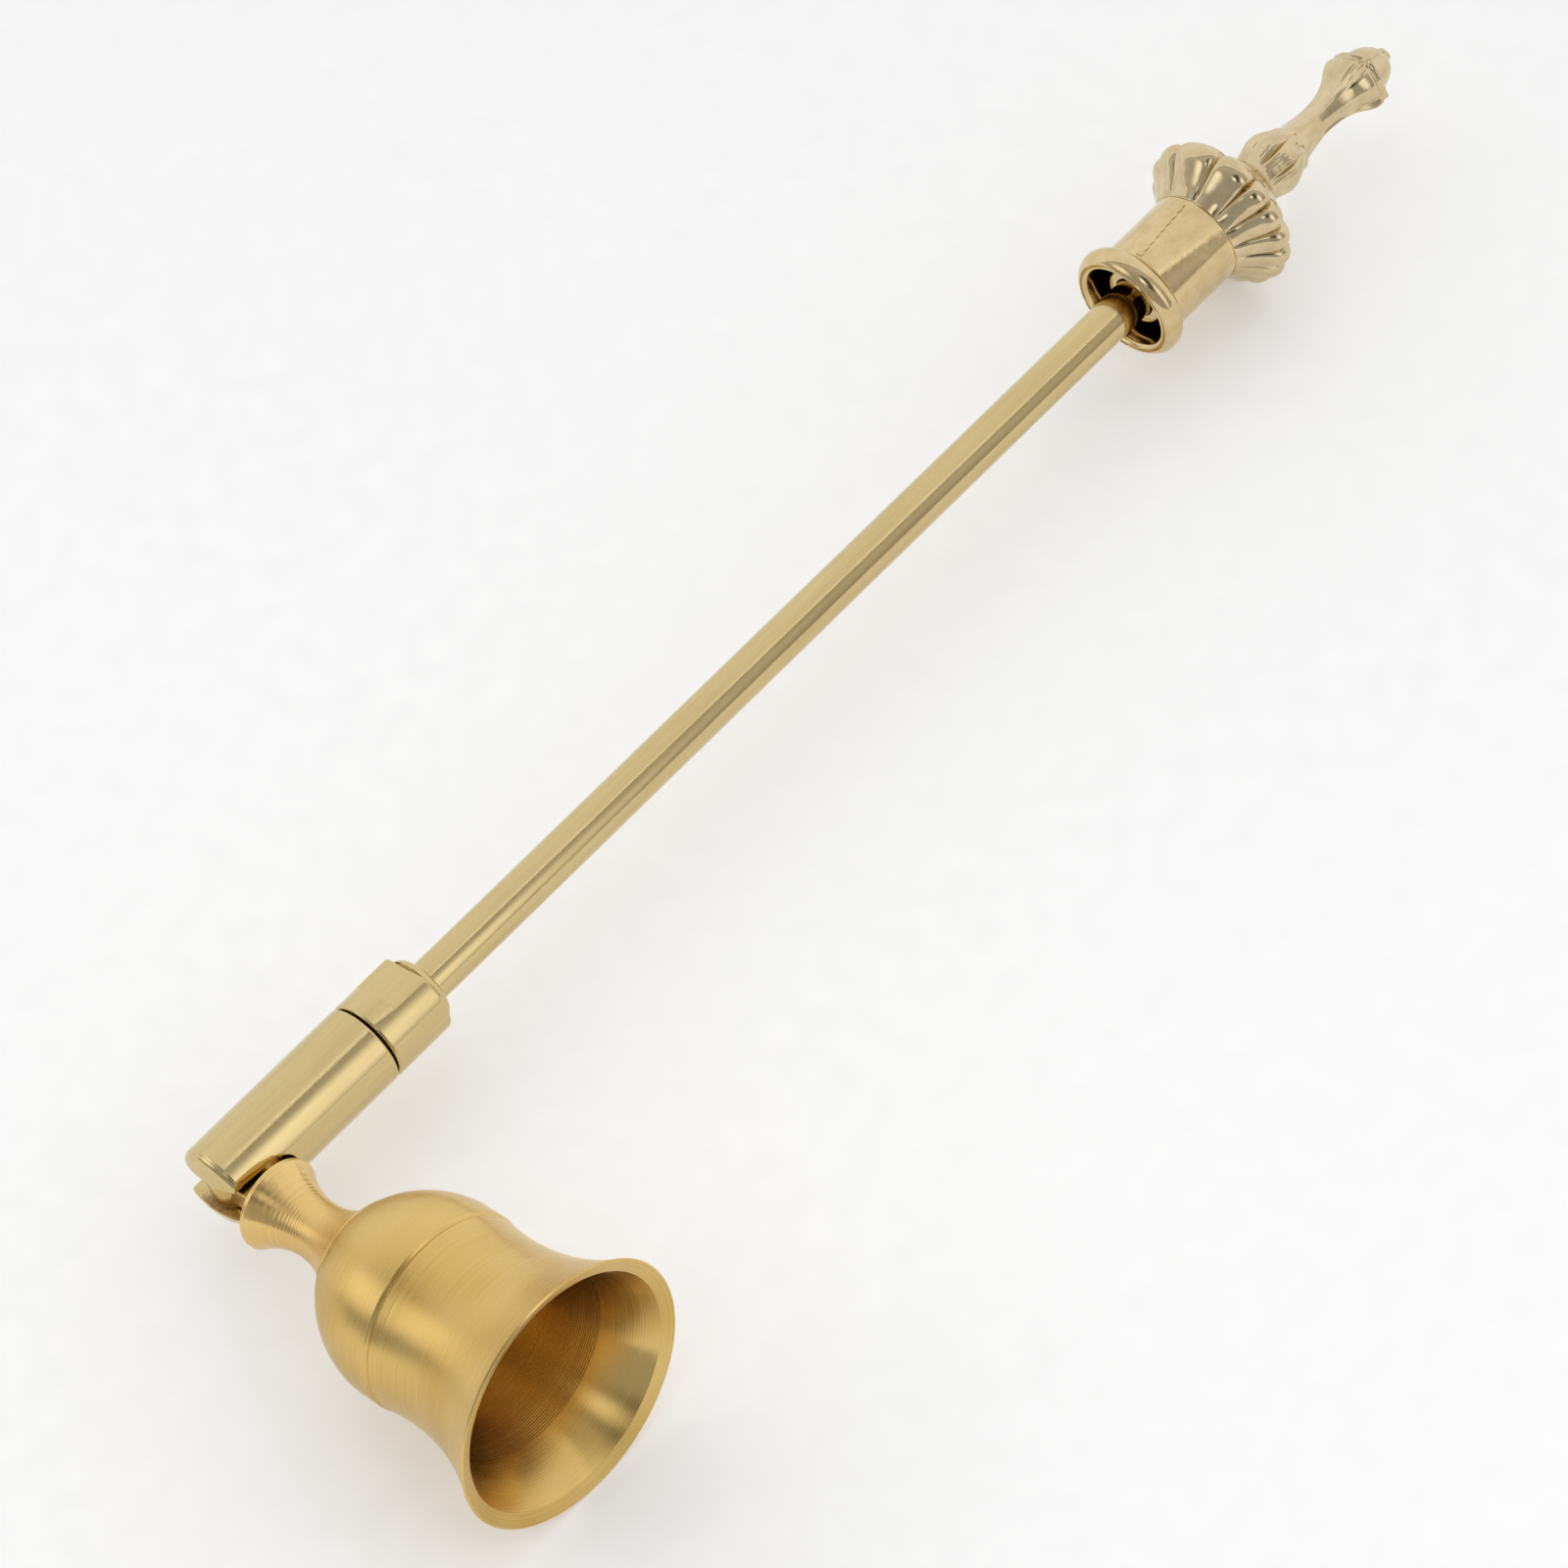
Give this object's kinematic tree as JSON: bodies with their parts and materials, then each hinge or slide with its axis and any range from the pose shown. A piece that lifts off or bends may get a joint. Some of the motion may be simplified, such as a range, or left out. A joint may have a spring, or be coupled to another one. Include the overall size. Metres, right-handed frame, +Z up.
{
  "type": "candle snuffer",
  "caption": "Brass candle snuffer: a flared bell on a spool neck tilts in a fork that swivels on a slim rod, with a fluted collar and a baluster finial as its grip.",
  "frame": {"origin": "table plane under the middle of the snuffer's box, as it lies on its side", "axes": "+X along the rod towards the grip, -Y the way the bell's mouth faces, +Z up from the table"},
  "size_m": [0.2566, 0.074, 0.0368],
  "materials": {
    "turned_brass": "satin, turned on a lathe and lacquered",
    "plated_bar": "gold plated, fine lengthwise polish",
    "plated_casting": "cast, tumbled and gold plated",
    "bright_brass": "bright plated",
    "bolt_steel": "zinc plated",
    "fibre": "matt black fibre"
  },
  "bodies": {
    "grip": {"rod": "plated_bar", "ferrule": "plated_bar", "swivel_collar": "plated_bar", "thrust_washer": "fibre", "handle_socket": "plated_casting", "fluted_collar": "plated_casting", "finial": "plated_casting"},
    "fork": {"fork_barrel": "plated_bar", "swivel_bolt": "bolt_steel", "spring_washer": "bolt_steel", "pivot_screw": "bright_brass", "upper_pivot_washer": "bright_brass", "lower_pivot_washer": "bright_brass"},
    "bell": {"knuckle": "bright_brass", "neck_spool": "turned_brass", "bell_cup": "turned_brass", "stud_washer": "bright_brass", "stud_nut": "bright_brass"}
  },
  "joints": [
    {"name": "fork_swivel", "type": "hinge", "parent": "grip", "child": "fork", "pos_m": [-0.1098, 0.0251, 0.01205], "axis": [1, 0, 0], "continuous": true},
    {"name": "bell_tilt", "type": "hinge", "parent": "fork", "child": "bell", "pos_m": [-0.1098, 0.0251, 0.01205], "axis": [0, -0.1061, -0.9944], "range_deg": [-10, 190]}
  ]
}
